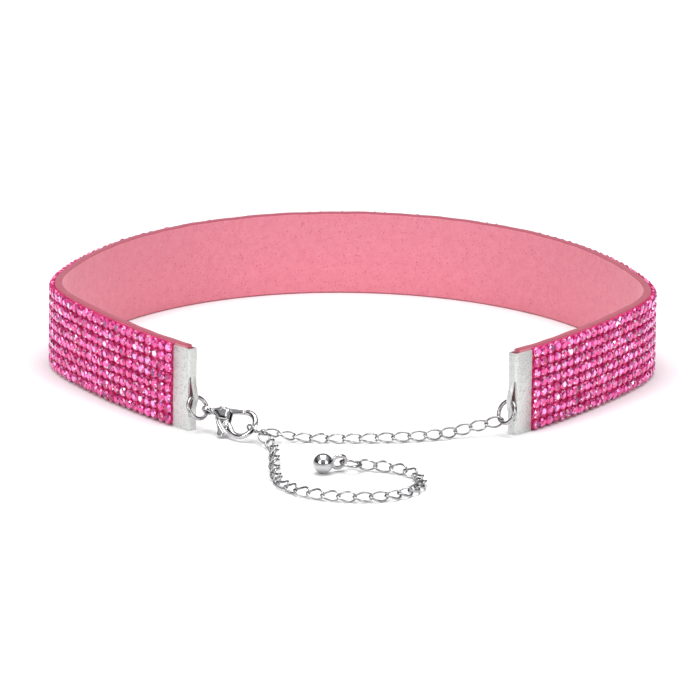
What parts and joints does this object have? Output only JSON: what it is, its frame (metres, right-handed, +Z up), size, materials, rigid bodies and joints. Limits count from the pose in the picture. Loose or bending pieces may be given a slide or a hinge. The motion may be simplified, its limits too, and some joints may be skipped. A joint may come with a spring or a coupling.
{
  "type": "choker necklace",
  "caption": "stiff suede choker band covered outside in rows of pink cut stones, with folded end clamps, a lobster clasp and an extender chain ending in a ball",
  "frame": {"origin": "middle of the part's bounding box in plan, on the surface that it stands on", "axes": "+X to the right as the clasp is seen from in front, +Y from the clasp to the middle of the band, +Z up across the band's height"},
  "size_m": [0.1134, 0.1512, 0.016],
  "materials": {
    "suede": "soft napped suede, salmon pink",
    "stones": "cut pink stones set in crimson glue",
    "clamp": "satin, pressed with rows of small pits",
    "silver": "polished silver plate"
  },
  "bodies": {
    "necklace": {"suede_band": "suede", "stone_field": "stones", "clamp_left": "clamp", "clamp_right": "clamp", "jump_ring_left": "silver", "jump_ring_right": "silver", "clasp_claw": "silver", "clasp_rivet": "silver", "held_link": "silver", "run_link_01": "silver", "run_link_02": "silver", "run_link_03": "silver", "run_link_04": "silver", "run_link_05": "silver", "run_link_06": "silver", "run_link_07": "silver", "run_link_08": "silver", "run_link_09": "silver", "run_link_10": "silver", "run_link_11": "silver", "run_link_12": "silver", "run_link_13": "silver", "run_link_14": "silver", "run_link_15": "silver", "tail_link_01": "silver", "tail_link_02": "silver", "tail_link_03": "silver", "tail_link_04": "silver", "tail_link_05": "silver", "tail_link_06": "silver", "tail_link_07": "silver", "tail_link_08": "silver", "tail_link_09": "silver", "tail_link_10": "silver", "tail_link_11": "silver", "tail_link_12": "silver", "tail_link_13": "silver", "tail_link_14": "silver", "tail_link_15": "silver", "tail_link_16": "silver", "tail_link_17": "silver", "tail_link_18": "silver", "tail_link_19": "silver", "tail_link_20": "silver", "tail_link_21": "silver", "tail_link_22": "silver", "tail_link_23": "silver", "tail_link_24": "silver", "tail_link_25": "silver", "tail_link_26": "silver", "tail_link_27": "silver", "tail_link_28": "silver", "end_ring": "silver", "ball_drop": "silver"},
    "lever": {"clasp_lever": "silver"}
  },
  "joints": [
    {"name": "clasp_lever_hinge", "type": "hinge", "parent": "necklace", "child": "lever", "pos_m": [-0.02345, -0.02968, 0.00417], "axis": [0.4262, 0.6087, -0.6691], "range_deg": [0, 20], "stiffness_Nm_per_rad": 0.002, "springref_deg": -5.73}
  ]
}
